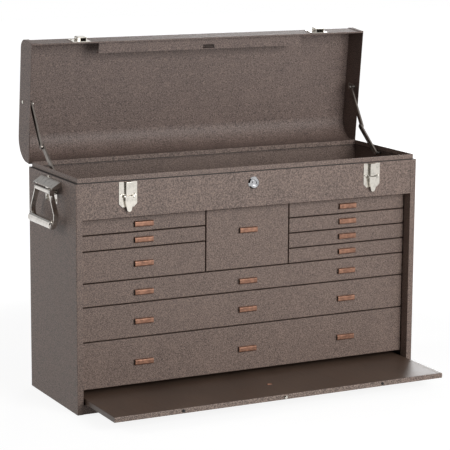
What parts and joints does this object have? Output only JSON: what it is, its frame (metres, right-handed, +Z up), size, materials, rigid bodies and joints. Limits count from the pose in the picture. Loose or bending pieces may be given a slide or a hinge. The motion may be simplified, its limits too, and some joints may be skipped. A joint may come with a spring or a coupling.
{
  "type": "machinist tool chest",
  "caption": "Steel machinist chest with an open lidded till, a bank of shallow drawers and a front panel that slides under them.",
  "frame": {"origin": "middle of the bottom, on the floor", "axes": "+X right as seen from the front, +Y to the back, +Z up; lid open on its stays, drawers shut, front panel stored and standing out of the front"},
  "size_m": [0.733, 0.3952, 0.6339],
  "materials": {
    "case_paint": "hammertone, half gloss",
    "drawer_paint": "hammertone, half gloss",
    "inner_paint": "hammertone, half gloss",
    "pull_copper": "satin",
    "bright_nickel": "polished",
    "plated_steel": "satin",
    "dark_steel": "satin",
    "lock_chrome": "polished",
    "bumper_rubber": "matt"
  },
  "bodies": {
    "case": {"left_side": "case_paint", "right_side": "case_paint", "back_panel": "case_paint", "bottom_pan": "case_paint", "till_front": "case_paint", "till_floor": "inner_paint", "column_partitions": "inner_paint", "column_shelf": "inner_paint", "drawer_runners": "plated_steel", "hinge_case_leaf": "plated_steel", "hinge_pin": "plated_steel", "latch_plates": "bright_nickel", "lock_body": "bright_nickel", "left_handle_bracket": "bright_nickel", "right_handle_bracket": "bright_nickel", "stay_case_pivots": "plated_steel"},
    "lid": {"lid_shell": "case_paint", "left_lid_end": "case_paint", "right_lid_end": "case_paint", "lid_strike_channel": "inner_paint", "hinge_lid_leaf": "plated_steel", "latch_keepers": "bright_nickel", "stay_lid_pivots": "plated_steel"},
    "lock": {"lock_plug": "lock_chrome", "lock_cam": "plated_steel"},
    "front_panel": {"front_panel": "case_paint", "front_panel_stud": "bright_nickel", "front_panel_bumpers": "bumper_rubber"},
    "left_stay_lower": {"left_stay_lower": "dark_steel"},
    "left_stay_upper": {"left_stay_upper": "dark_steel"},
    "right_stay_lower": {"right_stay_lower": "dark_steel"},
    "right_stay_upper": {"right_stay_upper": "dark_steel"},
    "drawer_left_top": {"drawer_left_top": "drawer_paint", "pull_left_top": "pull_copper"},
    "drawer_left_middle": {"drawer_left_middle": "drawer_paint", "pull_left_middle": "pull_copper"},
    "drawer_left_bottom": {"drawer_left_bottom": "drawer_paint", "pull_left_bottom": "pull_copper"},
    "drawer_centre": {"drawer_centre": "drawer_paint", "pull_centre": "pull_copper"},
    "drawer_right_first": {"drawer_right_first": "drawer_paint", "pull_right_first": "pull_copper"},
    "drawer_right_second": {"drawer_right_second": "drawer_paint", "pull_right_second": "pull_copper"},
    "drawer_right_third": {"drawer_right_third": "drawer_paint", "pull_right_third": "pull_copper"},
    "drawer_right_fourth": {"drawer_right_fourth": "drawer_paint", "pull_right_fourth": "pull_copper"},
    "drawer_wide_upper": {"drawer_wide_upper": "drawer_paint", "pull_wide_upper": "pull_copper"},
    "drawer_wide_middle": {"drawer_wide_middle": "drawer_paint", "pull_wide_middle": "pull_copper"},
    "drawer_wide_lower": {"drawer_wide_lower": "drawer_paint", "pull_wide_lower": "pull_copper"},
    "left_latch_lever": {"left_latch_lever": "bright_nickel"},
    "left_latch_claw": {"left_latch_claw": "bright_nickel"},
    "right_latch_lever": {"right_latch_lever": "bright_nickel"},
    "right_latch_claw": {"right_latch_claw": "bright_nickel"},
    "left_handle": {"left_bail": "bright_nickel"},
    "right_handle": {"right_bail": "bright_nickel"}
  },
  "joints": [
    {"name": "lid_hinge", "type": "hinge", "parent": "case", "child": "lid", "pos_m": [0, 0.1113, 0.4055], "axis": [1, 0, 0], "range_deg": [0, 84]},
    {"name": "left_stay_case_pivot", "type": "hinge", "parent": "case", "child": "left_stay_lower", "pos_m": [0, 0.014, 0.399], "axis": [1, 0, 0], "range_deg": [-33.4, 0]},
    {"name": "left_stay_lid_pivot", "type": "hinge", "parent": "lid", "child": "left_stay_upper", "pos_m": [0, 0.11653, 0.51454], "axis": [1, 0, 0], "range_deg": [0, 26.8]},
    {"name": "right_stay_case_pivot", "type": "hinge", "parent": "case", "child": "right_stay_lower", "pos_m": [0, 0.014, 0.399], "axis": [1, 0, 0], "range_deg": [-33.4, 0]},
    {"name": "right_stay_lid_pivot", "type": "hinge", "parent": "lid", "child": "right_stay_upper", "pos_m": [0, 0.11653, 0.51454], "axis": [1, 0, 0], "range_deg": [0, 26.8]},
    {"name": "drawer_left_top_slide", "type": "slide", "parent": "case", "child": "drawer_left_top", "axis": [0, -1, 0], "range_m": [0, 0.15]},
    {"name": "drawer_left_middle_slide", "type": "slide", "parent": "case", "child": "drawer_left_middle", "axis": [0, -1, 0], "range_m": [0, 0.15]},
    {"name": "drawer_left_bottom_slide", "type": "slide", "parent": "case", "child": "drawer_left_bottom", "axis": [0, -1, 0], "range_m": [0, 0.15]},
    {"name": "drawer_centre_slide", "type": "slide", "parent": "case", "child": "drawer_centre", "axis": [0, -1, 0], "range_m": [0, 0.15]},
    {"name": "drawer_right_first_slide", "type": "slide", "parent": "case", "child": "drawer_right_first", "axis": [0, -1, 0], "range_m": [0, 0.15]},
    {"name": "drawer_right_second_slide", "type": "slide", "parent": "case", "child": "drawer_right_second", "axis": [0, -1, 0], "range_m": [0, 0.15]},
    {"name": "drawer_right_third_slide", "type": "slide", "parent": "case", "child": "drawer_right_third", "axis": [0, -1, 0], "range_m": [0, 0.15]},
    {"name": "drawer_right_fourth_slide", "type": "slide", "parent": "case", "child": "drawer_right_fourth", "axis": [0, -1, 0], "range_m": [0, 0.15]},
    {"name": "drawer_wide_upper_slide", "type": "slide", "parent": "case", "child": "drawer_wide_upper", "axis": [0, -1, 0], "range_m": [0, 0.15]},
    {"name": "drawer_wide_middle_slide", "type": "slide", "parent": "case", "child": "drawer_wide_middle", "axis": [0, -1, 0], "range_m": [0, 0.15]},
    {"name": "drawer_wide_lower_slide", "type": "slide", "parent": "case", "child": "drawer_wide_lower", "axis": [0, -1, 0], "range_m": [0, 0.15]},
    {"name": "front_panel_slide", "type": "slide", "parent": "case", "child": "front_panel", "axis": [0, -1, 0], "range_m": [-0.014, 0.15]},
    {"name": "left_latch_pivot", "type": "hinge", "parent": "case", "child": "left_latch_lever", "pos_m": [-0.2435, -0.112, 0.377], "axis": [-1, 0, 0], "range_deg": [0, 100]},
    {"name": "left_latch_claw_slide", "type": "slide", "parent": "case", "child": "left_latch_claw", "axis": [0, 0, 1], "range_m": [0, 0.012]},
    {"name": "right_latch_pivot", "type": "hinge", "parent": "case", "child": "right_latch_lever", "pos_m": [0.2435, -0.112, 0.377], "axis": [-1, 0, 0], "range_deg": [0, 100]},
    {"name": "right_latch_claw_slide", "type": "slide", "parent": "case", "child": "right_latch_claw", "axis": [0, 0, 1], "range_m": [0, 0.012]},
    {"name": "lock_turn", "type": "hinge", "parent": "case", "child": "lock", "pos_m": [0, -0.1, 0.383], "axis": [0, -1, 0], "range_deg": [0, 90]},
    {"name": "left_handle_pivot", "type": "hinge", "parent": "case", "child": "left_handle", "pos_m": [-0.354, 0, 0.3795], "axis": [0, 1, 0], "range_deg": [-8, 90]},
    {"name": "right_handle_pivot", "type": "hinge", "parent": "case", "child": "right_handle", "pos_m": [0.354, 0, 0.3795], "axis": [0, -1, 0], "range_deg": [-8, 90]}
  ],
  "couplings": [
    {"joint": "left_stay_case_pivot", "follows": "lid_hinge", "ratio": -0.39704},
    {"joint": "left_stay_lid_pivot", "follows": "lid_hinge", "ratio": 0.31808},
    {"joint": "right_stay_case_pivot", "follows": "lid_hinge", "ratio": -0.39704},
    {"joint": "right_stay_lid_pivot", "follows": "lid_hinge", "ratio": 0.31808},
    {"joint": "left_latch_claw_slide", "follows": "left_latch_pivot", "m_per_rad": 0.00687},
    {"joint": "right_latch_claw_slide", "follows": "right_latch_pivot", "m_per_rad": 0.00687}
  ]
}
